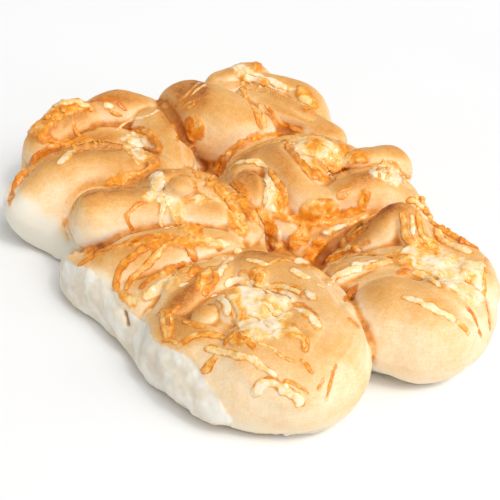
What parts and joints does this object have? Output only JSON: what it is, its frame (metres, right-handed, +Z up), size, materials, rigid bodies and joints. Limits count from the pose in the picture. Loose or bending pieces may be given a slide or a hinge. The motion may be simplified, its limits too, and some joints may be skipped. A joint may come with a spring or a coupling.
{
  "type": "pull-apart batch of cheese knots",
  "caption": "Pull-apart batch of baked bread knots in two columns, with a golden crust, folded strands on top, strips of melted cheese, and one torn side that shows the crumb.",
  "frame": {"origin": "centre of the bounding box's lowest face, on the surface that the loaf stands on", "axes": "+Z up through the crust, +Y along the three rows of knots, +X across the two columns, with the torn side at -X"},
  "size_m": [0.1886, 0.259, 0.0556],
  "materials": {
    "crust": "baked crust, satin, pale cream low down to golden brown on the crests",
    "cheese": "melted and baked cheese, glossy orange with cream middles and brown edges",
    "crumb": "torn crumb, matt, off-white, with small pores"
  },
  "bodies": {
    "root": {"cheese_knots": "crust"}
  },
  "joints": []
}
